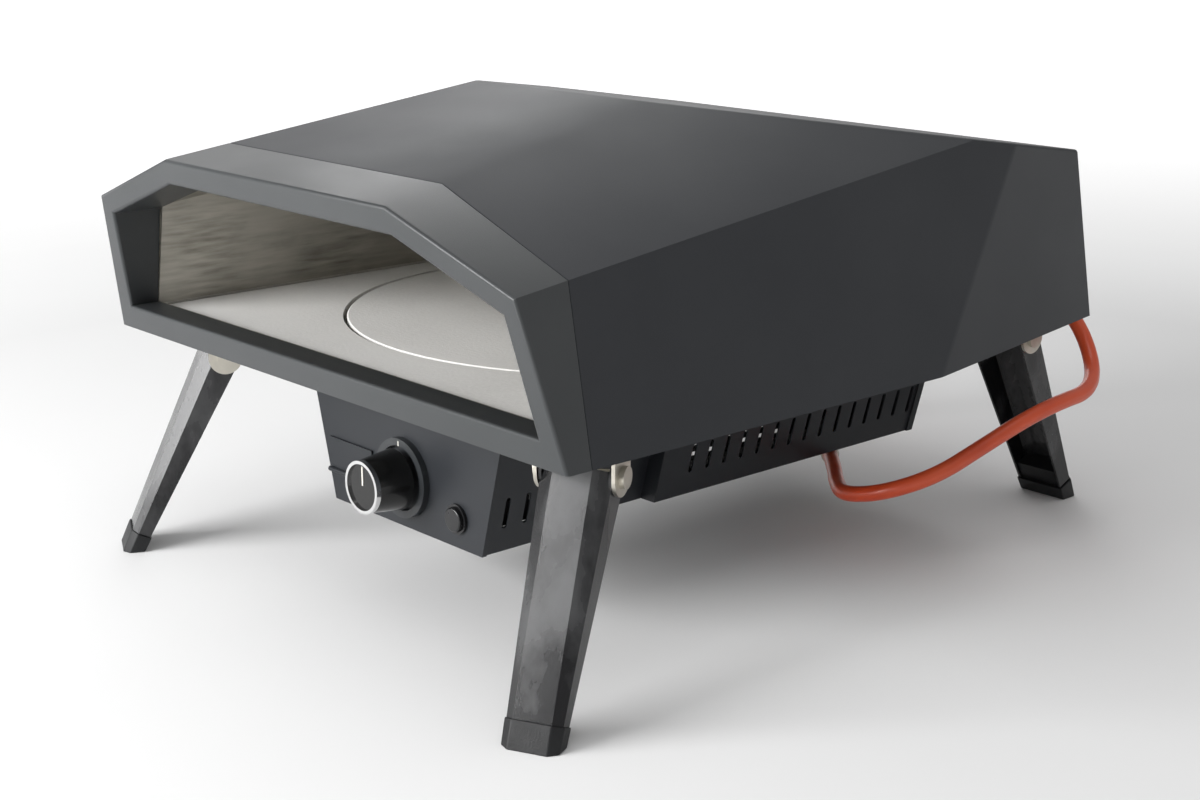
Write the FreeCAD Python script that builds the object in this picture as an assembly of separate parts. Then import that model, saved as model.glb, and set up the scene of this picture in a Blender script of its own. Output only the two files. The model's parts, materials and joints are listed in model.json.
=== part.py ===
import FreeCAD, Part
import math
import os

# A tabletop gas pizza oven with a turning hearth stone, on four folding legs.
# Millimetres, +Z up. Everything is laid out from the middle of the front edge of
# the shell's underside, with Y running back, and save() then moves it so that the
# origin is on the ground under the middle of the oven.

os.makedirs("parts", exist_ok=True)
V = FreeCAD.Vector

# ---------------------------------------------------------------- shell
shell_width = 541.0
shell_length = 600.0
ridge_height = 190.5
ridge_y = 227.0
ridge_half_width = 99.0
side_lean = 0.189           # the side walls lean in by this much per mm of height
front_roof_rise = 0.161     # slope of the roof in front of the ridge
rear_roof_fall = 0.1545     # slope of the roof behind the ridge
face_lean = 0.21            # the front face leans forward with height
rear_lean = 0.2155          # the rear panel leans forward with height
seam_y = 20.0               # the front frame meets the shell here
shoulder_half_width = 127.0  # where the front roof meets the shoulder, at the seam
shoulder_height = 113.5     # where the shoulder meets the side wall, at the seam
taper_start_y = 353.5       # the side walls turn inwards behind this
rear_half_width = 225.0
rear_top_inset = 2.0        # how much narrower the tapered sides are at the top
rear_top_height = 137.0
sheet = 1.5

# ---------------------------------------------------------------- mouth
sill_height = 19.5
mouth_mid_height = 95.5
mouth_top_height = 130.5
mouth_top_half_width = 135.0
rail_bottom = 19.3          # width of the frame beside the mouth, at the sill
rail_mid = 16.4             # and at the corner half way up

# ---------------------------------------------------------------- cavity
liner_gap = 19.0            # from the outside of the shell to the liner
liner_sheet = 1.0
liner_foot = 18.0           # height of the liner's lower edge
hearth_top = 16.0
hearth_thickness = 10.0
hearth_front_y = 27.0
stone_diameter = 424.0
stone_gap = 3.0
stone_y = 286.5
tray_floor = 3.0            # thickness of the tray under the turning stone
stone_clear = 0.4           # running gap under the carrier and the stone
stone_chamfer = 1.2

# ---------------------------------------------------------------- legs
leg_height = 178.0          # ground to the shell's underside
leg_lean_deg = 23.7
pivot_drop = 21.0           # pivot axis below the shell's underside
leg_web = 27.0
leg_bevel_deg = 36.5
leg_sheet = 2.0
front_web_offset = 16.0     # pivot axis to the outer face of the web
front_bevels = (14.5, 7.0)  # at the pivot and at the foot
front_sides = (19.0, 9.0)
rear_web_offset = 22.0
rear_bevels = (17.3, 10.0)
rear_sides = (24.0, 13.2)
front_leg_yaw_deg = 25.4
front_leg_inset = 52.6      # pivot centre in from the side of the shell
front_leg_y = 57.5
rear_leg_inset = 66.0       # pivot centre in from the narrow end of the shell
rear_leg_y = 574.0
pivot_radius = 4.0
pivot_clearance = 0.05
cheek_gap = 0.6
cheek_sheet = 2.5
cheek_radius = 13.0
plate_overhang = 6.0        # of the bracket's plate, in front of and behind its cheeks
bolt_head_radius = 7.5
bolt_nut_radius = 6.5
bolt_head_height = 3.5
foot_wall = 1.2
foot_sleeve = 12.0
foot_plug = 16.0
foot_sole = 6.0

# ---------------------------------------------------------------- boxes under the shell
box_depth = 118.0
box_flare = 0.265
box_sheet = 1.2
control_half_width = 89.0
control_front_y = 78.0
control_rear_y = 200.0
neck_half_width = 67.0
burner_half_width = 82.0
burner_front_y = 250.0
burner_rear_y = 548.0
burner_cover_depth = 7.0
slot_pitch = 18.5
slot_width = 4.0
slot_height = 24.0
slot_foot = 99.0            # lower end of the slots, below the shell's underside
control_slots = 5
control_first_slot_y = 93.0
burner_slots = 15
burner_first_slot_y = 283.0
passage_half_width = 64.5   # of the openings between the boxes
vent_rows = (-45.0, -10.0, 10.0, 45.0)
vent_half_width = 4.5
vent_bridge = 12.0
control_vents = (118.0, 190.0, 1)   # from, to, and how many between
neck_vents = (206.0, 244.0, 1)
burner_vents = (262.0, 472.0, 3)

# ---------------------------------------------------------------- controls
panel_sheet = 2.0
dial_z = -79.6
dial_radius = 30.0
dial_thickness = 5.0
dial_gap = 1.5              # around the knob, at the dial's inner edge
knob_base_radius = 23.0
knob_face_radius = 19.2
knob_length = 29.7
knob_standoff = 8.3         # the dial's thickness, the knob's travel and a little more
knob_travel = 3.0
trim_depth = 3.0
trim_width = 1.9
trim_proud = 0.8            # the trim stands this far in front of the knob
face_recess = 1.0
spindle_radius = 4.0
rotor_radius = 7.0
fit_clearance = 0.05
button_x = 62.8
button_z = -96.0
button_radius = 9.0
button_rise = 5.4
button_fillet = 1.2
button_bezel_radius = 11.2
bezel_thickness = 2.2
bezel_wall = 1.4            # the bezel's flange, outside its sleeve
button_clear = 0.3
module_standoff = 11.0
module_half_width = 11.0
module_length = 42.0
module_below = 10.0
module_above = 8.0
battery_door_left = -93.5
battery_door_right = -39.0
battery_door_top = -68.5
battery_door_foot = -93.0
door_sheet = 1.4
door_gap = 0.3
door_overlap = 3.0          # of the door over the edge of its opening
knuckle_length = 6.0
hinge_barrel_radius = 2.0
hinge_pin_radius = 1.0
cell_radius = 7.1
cell_length = 50.0
cell_gap = 0.3
case_depth = 36.0
case_wall = 1.2

# ---------------------------------------------------------------- drive
shaft_radius = 8.0
shaft_hole_clear = 6.0      # around the shaft, in every sheet that it goes through
carrier_radius = 150.0
carrier_pocket_clear = 8.0
carrier_windows = 6
window_ring_radius = 95.0
window_radius = 28.0
gearbox_half_width = 26.0
gearbox_half_length = 34.0
gearbox_top = -14.0
gearbox_foot = -58.0
shaft_engagement = 12.0     # how far the shaft reaches into the gearbox
motor_radius = 16.0
motor_length = 26.0
motor_offset = 10.0         # motor behind the shaft's axis
bracket_half_width = 40.0
bracket_sheet = 2.0

# ---------------------------------------------------------------- burner and gas
burner_y = 526.0
burner_z = 31.0
burner_radius = 11.0
burner_wall = 1.2
burner_half_length = 165.0
port_count = 22
port_margin = 12.0
port_half_width = 1.0
port_low = 1.0              # the ports' lower and upper ends, above the burner's axis
port_high = 8.0
guard_y = 505.0
guard_half_width = 190.0
guard_height = 46.0
guard_sheet = 1.2
guard_foot_depth = 6.0
guard_slots = 16
guard_slot_half_width = 3.0
guard_margin = 20.0         # from the guard's ends to its outer slots
guard_rail = 10.0           # above and below the slots
cradle_x = 130.0
cradle_half_width = 4.0
cradle_half_depth = 14.0
igniter_x = -60.0
sensor_x = -80.0
probe_ahead = 6.0           # the probes stand this far in front of the burner's axis
probe_foot = -30.0
probe_gap = 1.5
igniter_radius = 3.0
sensor_radius = 2.5
probe_hole_radius = 3.2
probe_collar_radius = 6.0
probe_collar_height = 3.0
venturi_x = 45.0
venturi_radius = 14.0
venturi_wall = 1.5
venturi_front_y = 392.0
gas_z = -60.0
orifice_radius = 6.0
orifice_length = 7.0
valve_half_width = 16.0
valve_length = 40.0
valve_nose_radius = 10.0
valve_nose_length = 10.0
valve_outlet_radius = 7.0
valve_outlet_length = 12.0
pipe_radius = 4.0
supply_outer_x = 60.0       # along the burner box
supply_x = 28.0             # and beside the valve
supply_turn_y = 208.0
supply_z = 12.0 - box_depth
inlet_point = V(42.0, 491.0, -9.0 - box_depth)
inlet_below = 8.0
inlet_above = 16.0
inlet_nut_low = 4.0
inlet_nut_high = 9.0
inlet_radius = 6.5
inlet_nut_radius = 9.5
barb_radius = 4.5
barb_length = 18.0
hose_diameter = 12.5
ferrule_length = 16.0
ferrule_wall = 1.4
regulator_radius = 29.0
regulator_height = 19.0
regulator_dome_height = 9.0
regulator_dome_radius = 17.0
regulator_nut_radius = 12.5
regulator_nut_length = 26.0
regulator_gap = 12.0        # from the hose's end to the regulator's body
clip_width = 12.0
clip_sheet = 1.2
clip_spots = ((95.0, 25.0), (-45.0, 24.5))  # across and up, of the hose's axis

half_width = shell_width / 2
face_top_height = (ridge_height - front_roof_rise * ridge_y) / (1 + front_roof_rise * face_lean)
lean = math.radians(leg_lean_deg)
rear_leg_x = rear_half_width - rear_leg_inset
front_leg_x = half_width - front_leg_inset
front_reach = -face_lean * face_top_height
foot_run = (leg_height - pivot_drop) * math.tan(lean)
rear_reach = rear_leg_y + (rear_web_offset + foot_wall) / math.cos(lean) + foot_run
stand = V(0, -(front_reach + rear_reach) / 2, leg_height)


def save(name, *solids):
    shape = solids[0] if len(solids) == 1 else Part.makeCompound(list(solids))
    shape = shape.copy()
    shape.translate(stand)
    shape.exportStep("parts/" + name + ".step")


# ================================================================ helpers
def block(x0, x1, y0, y1, z0, z1):
    return Part.makeBox(x1 - x0, y1 - y0, z1 - z0, V(x0, y0, z0))


def rod(radius, start, end):
    run = end - start
    return Part.makeCylinder(radius, run.Length, start, run)


def ring(outer, inner, start, end):
    return rod(outer, start, end).cut(rod(inner, start, end))


def beyond(point, normal):
    """A large block that fills the space on the normal's side of a plane."""
    size = 3000.0
    space = Part.makeBox(size, size, size, V(-size / 2, -size / 2, 0))
    turn = FreeCAD.Rotation(V(0, 0, 1), normal)
    space.Placement = FreeCAD.Placement(point, turn).multiply(space.Placement)
    return space


def prism(points, direction):
    wire = Part.makePolygon(points + [points[0]])
    return Part.Face(wire).extrude(direction)


def mirrored(shape):
    return shape.mirror(V(0, 0, 0), V(1, 0, 0))


def side_x(z):
    return half_width - side_lean * z


# ================================================================ body shape
def plane_through(a, b, c, outside):
    """The plane through three points, with its normal towards a point outside."""
    normal = (b - a).cross(c - a)
    normal.normalize()
    if normal.dot(outside - a) < 0:
        normal = normal * -1
    return a, normal


far_right = V(2000, 0, 2000)
seam_roof = V(shoulder_half_width, seam_y, ridge_height - front_roof_rise * (ridge_y - seam_y))
seam_side = V(side_x(shoulder_height), seam_y, shoulder_height)
ridge_end = V(ridge_half_width, ridge_y, ridge_height)
taper_front = V(half_width, taper_start_y, 0)
taper_rear = V(rear_half_width, shell_length, 0)
rear_top_y = shell_length - rear_lean * rear_top_height
taper_top = V(rear_half_width - rear_top_inset, rear_top_y, rear_top_height)

right_planes = [
    (V(half_width, 0, 0), V(1, 0, side_lean)),
    plane_through(seam_roof, ridge_end, seam_side, far_right),
    plane_through(taper_front, taper_rear, taper_top, V(2000, 2000, 0)),
]
roof_planes = [
    (V(0, ridge_y, ridge_height), V(0, -front_roof_rise, 1)),
    (V(0, ridge_y, ridge_height), V(0, rear_roof_fall, 1)),
]
face_plane = (V(0, 0, 0), V(0, -1, -face_lean))
rear_plane = (V(0, shell_length, 0), V(0, 1, rear_lean))


def cutter(plane, inset):
    point, normal = plane
    direction = V(normal)
    direction.normalize()
    return beyond(point - direction * inset, direction)


def body(inset, front_y, rear_inset, floor_z):
    """The faceted body, set in by inset, from front_y back. Without front_y it
    reaches to the leaning face, set in too; without rear_inset it runs on past
    the rear panel."""
    start_y = -200.0 if front_y is None else front_y
    solid = block(-600, 600, start_y, 1200, floor_z, 400)
    cuts = [cutter(plane, inset) for plane in right_planes]
    cuts += [mirrored(cut) for cut in cuts]
    cuts += [cutter(plane, inset) for plane in roof_planes]
    if front_y is None:
        cuts.append(cutter(face_plane, inset))
    if rear_inset is not None:
        cuts.append(cutter(rear_plane, rear_inset))
    for cut in cuts:
        solid = solid.cut(cut)
    return solid


def mouth(grow, front_y, rear_y):
    """The six-sided mouth as a prism that runs along Y, grown by a wall."""
    low = side_x(sill_height) - rail_bottom + grow
    mid = side_x(mouth_mid_height) - rail_mid + grow
    top = mouth_top_half_width + grow * 0.4
    right = [
        V(low, front_y, sill_height - grow),
        V(mid, front_y, mouth_mid_height + grow * 0.4),
        V(top, front_y, mouth_top_height + grow),
    ]
    left = [V(-p.x, p.y, p.z) for p in reversed(right)]
    return prism(right + left, V(0, rear_y - front_y, 0))


# ================================================================ casing
behind_seam = block(-600, 600, seam_y, 1200, -50, 400)

frame = body(0, None, None, 0).cut(behind_seam)
frame_core = body(sheet, None, None, -10).cut(behind_seam)
ahead = beyond(face_plane[0], face_plane[1])
mouth_return = mouth(sheet, -60, seam_y).cut(ahead)
front_frame = frame.cut(frame_core).fuse(mouth_return)
front_frame = front_frame.cut(mouth(0, -80, seam_y + 10))
save("front_frame", front_frame)

outer_shell = body(0, seam_y, 0, 0).cut(body(sheet, seam_y - 5, None, -10))
save("outer_shell", outer_shell)

inside_shell = body(sheet, seam_y, 0, sheet)
rear_panel = inside_shell.common(cutter(rear_plane, sheet))
save("rear_panel", rear_panel)

shaft_hole_radius = shaft_radius + shaft_hole_clear
riser_hole_radius = venturi_radius + 2.0
pan_slice = body(sheet, seam_y, sheet, 0).common(block(-600, 600, 0, 1200, 0, sheet))
shaft_hole = rod(shaft_hole_radius, V(0, stone_y, -20), V(0, stone_y, 40))
riser_hole = rod(riser_hole_radius, V(venturi_x, burner_y, -20), V(venturi_x, burner_y, 40))
probe_y = burner_y - probe_ahead
probe_holes = [
    rod(probe_hole_radius, V(x, probe_y, -20), V(x, probe_y, 40))
    for x in (igniter_x, sensor_x)
]
base_pan = pan_slice.cut([shaft_hole, riser_hole] + probe_holes)
save("base_pan", base_pan)

# ================================================================ cavity
liner_inner = liner_gap + liner_sheet
liner_solid = body(liner_gap, seam_y, liner_gap, liner_foot)
liner_space = body(liner_inner, seam_y - 5, liner_inner, liner_foot - 5)
liner_flange = mouth(liner_gap - 6, seam_y, seam_y + liner_sheet).cut(mouth(0, 0, seam_y + 10))
liner_flange = liner_flange.cut(block(-600, 600, 0, 1200, -50, liner_foot))
save("cavity_liner", liner_solid.cut(liner_space).fuse(liner_flange))

blanket_outer = body(sheet + 0.5, seam_y + 2, sheet + 0.5, sheet + 0.5)
blanket_inner = body(liner_gap, seam_y - 5, liner_gap, -10)
save("insulation_blanket", blanket_outer.cut(blanket_inner))

hearth_inset = liner_inner + 0.6
hearth_zone = body(hearth_inset, hearth_front_y, hearth_inset, 0)
stone_radius = stone_diameter / 2
tray_top = hearth_top - hearth_thickness
pocket_floor = sheet + tray_floor
stone_hole = rod(stone_radius + stone_gap, V(0, stone_y, -5), V(0, stone_y, 40))
hearth = hearth_zone.common(block(-600, 600, 0, 1200, tray_top, hearth_top))
hearth = hearth.cut([stone_hole, riser_hole] + probe_holes)
save("hearth_surround", hearth)

tray = hearth_zone.common(block(-600, 600, 0, 1200, sheet, tray_top))
tray_pocket = rod(carrier_radius + carrier_pocket_clear, V(0, stone_y, pocket_floor),
                  V(0, stone_y, tray_top + 1))
save("hearth_tray", tray.cut([tray_pocket, shaft_hole, riser_hole] + probe_holes))

# ================================================================ turning hearth
carrier_foot = pocket_floor + stone_clear
carrier_top = tray_top + stone_clear
stone = rod(stone_radius, V(0, stone_y, carrier_top), V(0, stone_y, hearth_top))
stone_rim = [e for e in stone.Edges if abs(e.BoundBox.ZMin - hearth_top) < 0.01]
save("turning_stone", stone.makeChamfer(stone_chamfer, stone_rim[:1]))

carrier = rod(carrier_radius, V(0, stone_y, carrier_foot), V(0, stone_y, carrier_top))
for index in range(carrier_windows):
    angle = 2 * math.pi * index / carrier_windows
    spot = V(math.cos(angle), math.sin(angle), 0) * window_ring_radius + V(0, stone_y, -5)
    carrier = carrier.cut(rod(window_radius, spot, spot + V(0, 0, 30)))
save("stone_carrier", carrier)

shaft_foot = gearbox_top - shaft_engagement
drive_shaft = rod(shaft_radius, V(0, stone_y, shaft_foot), V(0, stone_y, carrier_foot))
save("drive_shaft", drive_shaft)

bearing_foot = -8.0
bearing = ring(shaft_hole_radius, shaft_radius + fit_clearance, V(0, stone_y, bearing_foot),
               V(0, stone_y, sheet))
save("shaft_bearing", bearing)

gearbox_front = stone_y - gearbox_half_length
gearbox_rear = stone_y + gearbox_half_length
gearbox = block(-gearbox_half_width, gearbox_half_width, gearbox_front, gearbox_rear,
                gearbox_foot, gearbox_top)
shaft_socket = rod(shaft_radius + fit_clearance, V(0, stone_y, shaft_foot - 1), V(0, stone_y, 0))
motor_top = V(0, stone_y + motor_offset, gearbox_foot)
motor_can = rod(motor_radius, motor_top - V(0, 0, motor_length), motor_top)
save("gear_motor", gearbox.cut(shaft_socket).fuse(motor_can))

motor_bracket = block(-bracket_half_width, bracket_half_width, gearbox_front, gearbox_rear,
                      gearbox_top, gearbox_top + bracket_sheet)
for side in (-1, 1):
    ear_x = side * (bracket_half_width - bracket_sheet / 2)
    ear = block(ear_x - bracket_sheet / 2, ear_x + bracket_sheet / 2, gearbox_front, gearbox_rear,
                gearbox_top, 0)
    motor_bracket = motor_bracket.fuse(ear)
bracket_hole = rod(shaft_radius + 2, V(0, stone_y, -30), V(0, stone_y, 0))
save("motor_bracket", motor_bracket.cut(bracket_hole))

# ================================================================ burner and gas train
burner_left = V(-burner_half_length, burner_y, burner_z)
burner_right = V(burner_half_length, burner_y, burner_z)
end_wall = V(burner_wall, 0, 0)
burner_outside = rod(burner_radius, burner_left, burner_right)
burner_hollow = rod(burner_radius - burner_wall, burner_left + end_wall, burner_right - end_wall)
first_port = port_margin - burner_half_length
port_pitch = -2 * first_port / (port_count - 1)
ports = []
for index in range(port_count):
    x = first_port + index * port_pitch
    ports.append(block(x - port_half_width, x + port_half_width, burner_y - burner_radius - 1,
                       burner_y, burner_z + port_low, burner_z + port_high))
burner_feed = rod(venturi_radius, V(venturi_x, burner_y, gas_z), V(venturi_x, burner_y, burner_z))
save("burner_tube", burner_outside.cut([burner_hollow, burner_feed] + ports))

venturi = rod(venturi_radius, V(venturi_x, venturi_front_y, gas_z), V(venturi_x, burner_y, gas_z))
venturi = venturi.fuse(Part.makeSphere(venturi_radius, V(venturi_x, burner_y, gas_z)))
riser = burner_feed.cut(burner_outside).cut(block(-200, 200, 0, 1200, burner_z, 200))
bore_start = V(venturi_x, venturi_front_y - 1, gas_z)
bore_turn = V(venturi_x, burner_y, gas_z)
bore_top = V(venturi_x, burner_y, burner_z)
bore_radius = venturi_radius - venturi_wall
venturi_bore = rod(bore_radius, bore_start, bore_turn).fuse(Part.makeSphere(bore_radius, bore_turn))
venturi_bore = venturi_bore.fuse(rod(bore_radius, bore_turn, bore_top))
save("venturi_tube", venturi.fuse(riser).cut(venturi_bore))

guard = block(-guard_half_width, guard_half_width, guard_y, guard_y + guard_sheet,
              hearth_top, hearth_top + guard_height)
guard_foot = block(-guard_half_width, guard_half_width, guard_y, guard_y + guard_foot_depth,
                   hearth_top, hearth_top + guard_sheet)
guard = guard.fuse(guard_foot)
first_slot = guard_margin - guard_half_width
guard_pitch = -2 * first_slot / (guard_slots - 1)
for index in range(guard_slots):
    x = first_slot + index * guard_pitch
    guard = guard.cut(block(x - guard_slot_half_width, x + guard_slot_half_width, guard_y - 1,
                            guard_y + guard_sheet + 1, hearth_top + guard_rail,
                            hearth_top + guard_height - guard_rail))
save("flame_guard", guard)

cradles = []
for x in (-cradle_x, cradle_x):
    cradle = block(x - cradle_half_width, x + cradle_half_width, burner_y - cradle_half_depth,
                   burner_y + cradle_half_depth, hearth_top, burner_z)
    cradles.append(cradle.cut(burner_outside))
save("burner_cradles", *cradles)

probe_head = burner_z - burner_radius - probe_gap
for name, radius, x in (("igniter_electrode", igniter_radius, igniter_x),
                        ("flame_sensor", sensor_radius, sensor_x)):
    probe = rod(radius, V(x, probe_y, probe_foot), V(x, probe_y, probe_head))
    collar = rod(probe_collar_radius, V(x, probe_y, -probe_collar_height), V(x, probe_y, 0))
    save(name, probe.fuse(collar))

panel_rear = control_front_y + panel_sheet
valve_front = panel_rear + valve_nose_length
valve_rear = valve_front + valve_length
rotor_front = valve_front + 4.0
rotor_rear = rotor_front + 16.0
valve_body = block(-valve_half_width, valve_half_width, valve_front, valve_rear,
                   dial_z - valve_half_width, dial_z + valve_half_width)
outlet_y = valve_rear + valve_outlet_length
valve_nose = rod(valve_nose_radius, V(0, panel_rear, dial_z), V(0, valve_front, dial_z))
valve_outlet = rod(valve_outlet_radius, V(0, valve_rear, dial_z), V(0, outlet_y, dial_z))
rotor_bore = rod(rotor_radius + fit_clearance, V(0, 0, dial_z), V(0, rotor_rear + 0.3, dial_z))
valve = valve_body.fuse([valve_nose, valve_outlet]).cut(rotor_bore)
save("gas_valve", valve)

orifice_rear = venturi_front_y - 1.0
orifice_front = orifice_rear - orifice_length
turn_y = outlet_y + 10.0


def pipe(radius, points):
    """A pipe with square corners, each filled by a ball."""
    solid = rod(radius, points[0], points[1])
    for start, end in zip(points[1:], points[2:]):
        solid = solid.fuse(Part.makeSphere(radius, start)).fuse(rod(radius, start, end))
    return solid


burner_pipe = pipe(pipe_radius, [V(0, outlet_y, dial_z), V(0, turn_y, dial_z),
                                 V(venturi_x, turn_y, gas_z), V(venturi_x, orifice_front, gas_z)])
save("burner_pipe", burner_pipe)
save("gas_orifice", rod(orifice_radius, V(venturi_x, orifice_front, gas_z),
                        V(venturi_x, orifice_rear, gas_z)))

supply_start = V(inlet_point.x, inlet_point.y, supply_z)
supply_entry_y = valve_rear - 12
supply_pipe = pipe(pipe_radius, [supply_start, V(supply_outer_x, inlet_point.y - 30, supply_z),
                                 V(supply_outer_x, supply_turn_y, supply_z),
                                 V(supply_x, supply_turn_y, supply_z),
                                 V(supply_x, supply_entry_y, supply_z),
                                 V(supply_x, supply_entry_y, dial_z),
                                 V(valve_half_width, supply_entry_y, dial_z)])
save("supply_pipe", supply_pipe)

module_front = panel_rear + module_standoff
module = block(button_x - module_half_width, button_x + module_half_width, module_front,
               module_front + module_length, button_z - module_below, button_z + module_above)
save("igniter_module", module)


# ================================================================ boxes under the shell
def tray_box(half_foot, front_y, rear_y, wall, open_ways):
    """A sheet box that flares upwards, open in each of the given directions."""
    def solid(inset):
        foot = half_foot - inset
        foot_z = -box_depth + inset
        top = foot + box_flare * (box_depth - inset)
        outline = [V(-foot, front_y + inset, foot_z), V(foot, front_y + inset, foot_z),
                   V(top, front_y + inset, 0), V(-top, front_y + inset, 0)]
        return prism(outline, V(0, rear_y - front_y - 2 * inset, 0))
    hollow = solid(wall)
    for way in open_ways:
        hollow = hollow.fuse(hollow.translated(way * wall))
    return solid(0).cut(hollow)


def slots(first_y, count):
    """Upright slots with round ends, through both sides of a box."""
    cuts = []
    radius = slot_width / 2
    low = radius - slot_foot
    high = low + slot_height - slot_width
    for index in range(count):
        y = first_y + index * slot_pitch
        cuts.append(block(-200, 200, y - radius, y + radius, low, high))
        cuts += [rod(radius, V(-200, y, z), V(200, y, z)) for z in (low, high)]
    return cuts


def vents(first_y, last_y, count):
    """Rows of long slits through the floor of a box, between two places along it."""
    cuts = []
    pitch = (last_y - first_y + vent_bridge) / count
    for index in range(count):
        y = first_y + index * pitch
        for x in vent_rows:
            cuts.append(block(x - vent_half_width, x + vent_half_width, y, y + pitch - vent_bridge,
                              -box_depth - 1, -box_depth + 3))
    return cuts


centre_space = block(-passage_half_width, passage_half_width, control_rear_y - 5, burner_front_y + 5,
                     8 - box_depth, 0)
up = V(0, 0, 1)
forward = V(0, -1, 0)
control_box = tray_box(control_half_width, panel_rear, control_rear_y, box_sheet, [up, forward])
control_box = control_box.cut(slots(control_first_slot_y, control_slots) + vents(*control_vents))
save("control_box", control_box.cut(centre_space))

neck = tray_box(neck_half_width, control_rear_y, burner_front_y, box_sheet, [up])
save("drive_housing", neck.cut(centre_space).cut(vents(*neck_vents)))

burner_box = tray_box(burner_half_width, burner_front_y, burner_rear_y, box_sheet, [up])
inlet_hole = rod(inlet_radius, inlet_point, inlet_point + V(0, 0, 30))
burner_box = burner_box.cut(slots(burner_first_slot_y, burner_slots) + vents(*burner_vents))
burner_box = burner_box.cut([centre_space, inlet_hole])
save("burner_box", burner_box)

cover_half = burner_half_width + 1.5
cover_top = cover_half + box_flare * box_depth
cover_outline = [V(-cover_half, burner_rear_y, -box_depth), V(cover_half, burner_rear_y, -box_depth),
                 V(cover_top, burner_rear_y, 0), V(-cover_top, burner_rear_y, 0)]
save("burner_box_cover", prism(cover_outline, V(0, burner_cover_depth, 0)))

# ================================================================ control panel
panel_half = control_half_width + 1.2
panel_top = panel_half + box_flare * box_depth
panel_outline = [V(-panel_half, control_front_y - panel_sheet, -box_depth),
                 V(panel_half, control_front_y - panel_sheet, -box_depth),
                 V(panel_top, control_front_y - panel_sheet, 0),
                 V(-panel_top, control_front_y - panel_sheet, 0)]
panel_front = control_front_y - panel_sheet
panel = prism(panel_outline, V(0, 2 * panel_sheet, 0))
panel_cuts = [
    rod(spindle_radius + 1, V(0, 0, dial_z), V(0, 200, dial_z)),
    rod(button_bezel_radius - bezel_wall, V(button_x, 0, button_z), V(button_x, 200, button_z)),
    block(battery_door_left + door_overlap, battery_door_right - door_overlap, 0, 200,
          battery_door_foot + door_overlap, battery_door_top - door_overlap),
]
door_pin_y = panel_front - door_gap - hinge_barrel_radius
door_pin_z = battery_door_foot - 1.0
knuckles = []
for x0 in (battery_door_left, battery_door_right - knuckle_length):
    x1 = x0 + knuckle_length
    knuckle = rod(hinge_barrel_radius, V(x0, door_pin_y, door_pin_z), V(x1, door_pin_y, door_pin_z))
    web = block(x0, x1, door_pin_y, panel_front, door_pin_z - hinge_barrel_radius, door_pin_z)
    knuckles.append(knuckle.fuse(web))
panel = panel.fuse(knuckles)
door_pin = rod(hinge_pin_radius, V(battery_door_left, door_pin_y, door_pin_z),
               V(battery_door_right, door_pin_y, door_pin_z))
save("control_panel", panel.cut(panel_cuts).cut(door_pin))
save("battery_door_pin", door_pin)

door = block(battery_door_left, battery_door_right, panel_front - door_gap - door_sheet,
             panel_front - door_gap, battery_door_foot + 1.6, battery_door_top)
barrel_left = battery_door_left + knuckle_length + door_gap
barrel_right = battery_door_right - knuckle_length - door_gap
barrel = rod(hinge_barrel_radius, V(barrel_left, door_pin_y, door_pin_z),
             V(barrel_right, door_pin_y, door_pin_z))
door_web = block(barrel_left, barrel_right, panel_front - door_gap - door_sheet,
                 panel_front - door_gap, door_pin_z, battery_door_foot + door_overlap)
door_bore = rod(hinge_pin_radius + fit_clearance, V(-200, door_pin_y, door_pin_z),
                V(200, door_pin_y, door_pin_z))
save("battery_door", door.fuse([barrel, door_web]).cut(door_bore))

case_left = battery_door_left + 1.0
case_right = battery_door_right - 0.5
case_middle = (battery_door_foot + battery_door_top) / 2
case = block(case_left, case_right, panel_rear, panel_rear + case_depth,
             battery_door_foot, battery_door_top)
case_hollow = block(case_left + case_wall, case_right - case_wall,
                    panel_rear - 1, panel_rear + case_depth - case_wall,
                    case_middle - cell_radius - cell_gap, case_middle + cell_radius + cell_gap)
save("battery_case", case.cut(case_hollow))
cells = []
for step in (0, 1):
    y = panel_rear + cell_radius + 1 + step * 2 * (cell_radius + cell_gap)
    start = V((case_left + case_right - cell_length) / 2, y, case_middle - cell_gap)
    cells.append(rod(cell_radius, start, start + V(cell_length, 0, 0)))
save("battery_cells", *cells)

dial = ring(dial_radius, knob_base_radius + dial_gap, V(0, panel_front - dial_thickness, dial_z),
            V(0, panel_front, dial_z))
save("dial_bezel", dial)

knob_rear = panel_front - knob_standoff
knob_front = knob_rear - knob_length
knob = Part.makeCone(knob_base_radius, knob_face_radius, knob_length,
                     V(0, knob_rear, dial_z), V(0, -1, 0))
knob_recess = rod(knob_face_radius - trim_width, V(0, knob_front, dial_z),
                  V(0, knob_front + face_recess, dial_z))
trim_space = ring(knob_face_radius + 5, knob_face_radius - trim_width,
                  V(0, knob_front - 1, dial_z), V(0, knob_front + trim_depth, dial_z))
spindle_front = knob_front + 8.0
spindle_rear = rotor_front + 8.0
spindle = rod(spindle_radius, V(0, spindle_front, dial_z), V(0, spindle_rear, dial_z))
save("control_knob", knob.cut([knob_recess, trim_space, spindle]))
trim = ring(knob_face_radius + 0.5, knob_face_radius - trim_width,
            V(0, knob_front - trim_proud, dial_z), V(0, knob_front + trim_depth, dial_z))
save("knob_trim", trim)
save("valve_spindle", spindle)
rotor = rod(rotor_radius, V(0, rotor_front, dial_z), V(0, rotor_rear, dial_z))
rotor_hole = rod(spindle_radius + fit_clearance, V(0, rotor_front - 1, dial_z),
                 V(0, spindle_rear + knob_travel + 1, dial_z))
save("valve_rotor", rotor.cut(rotor_hole))

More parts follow.
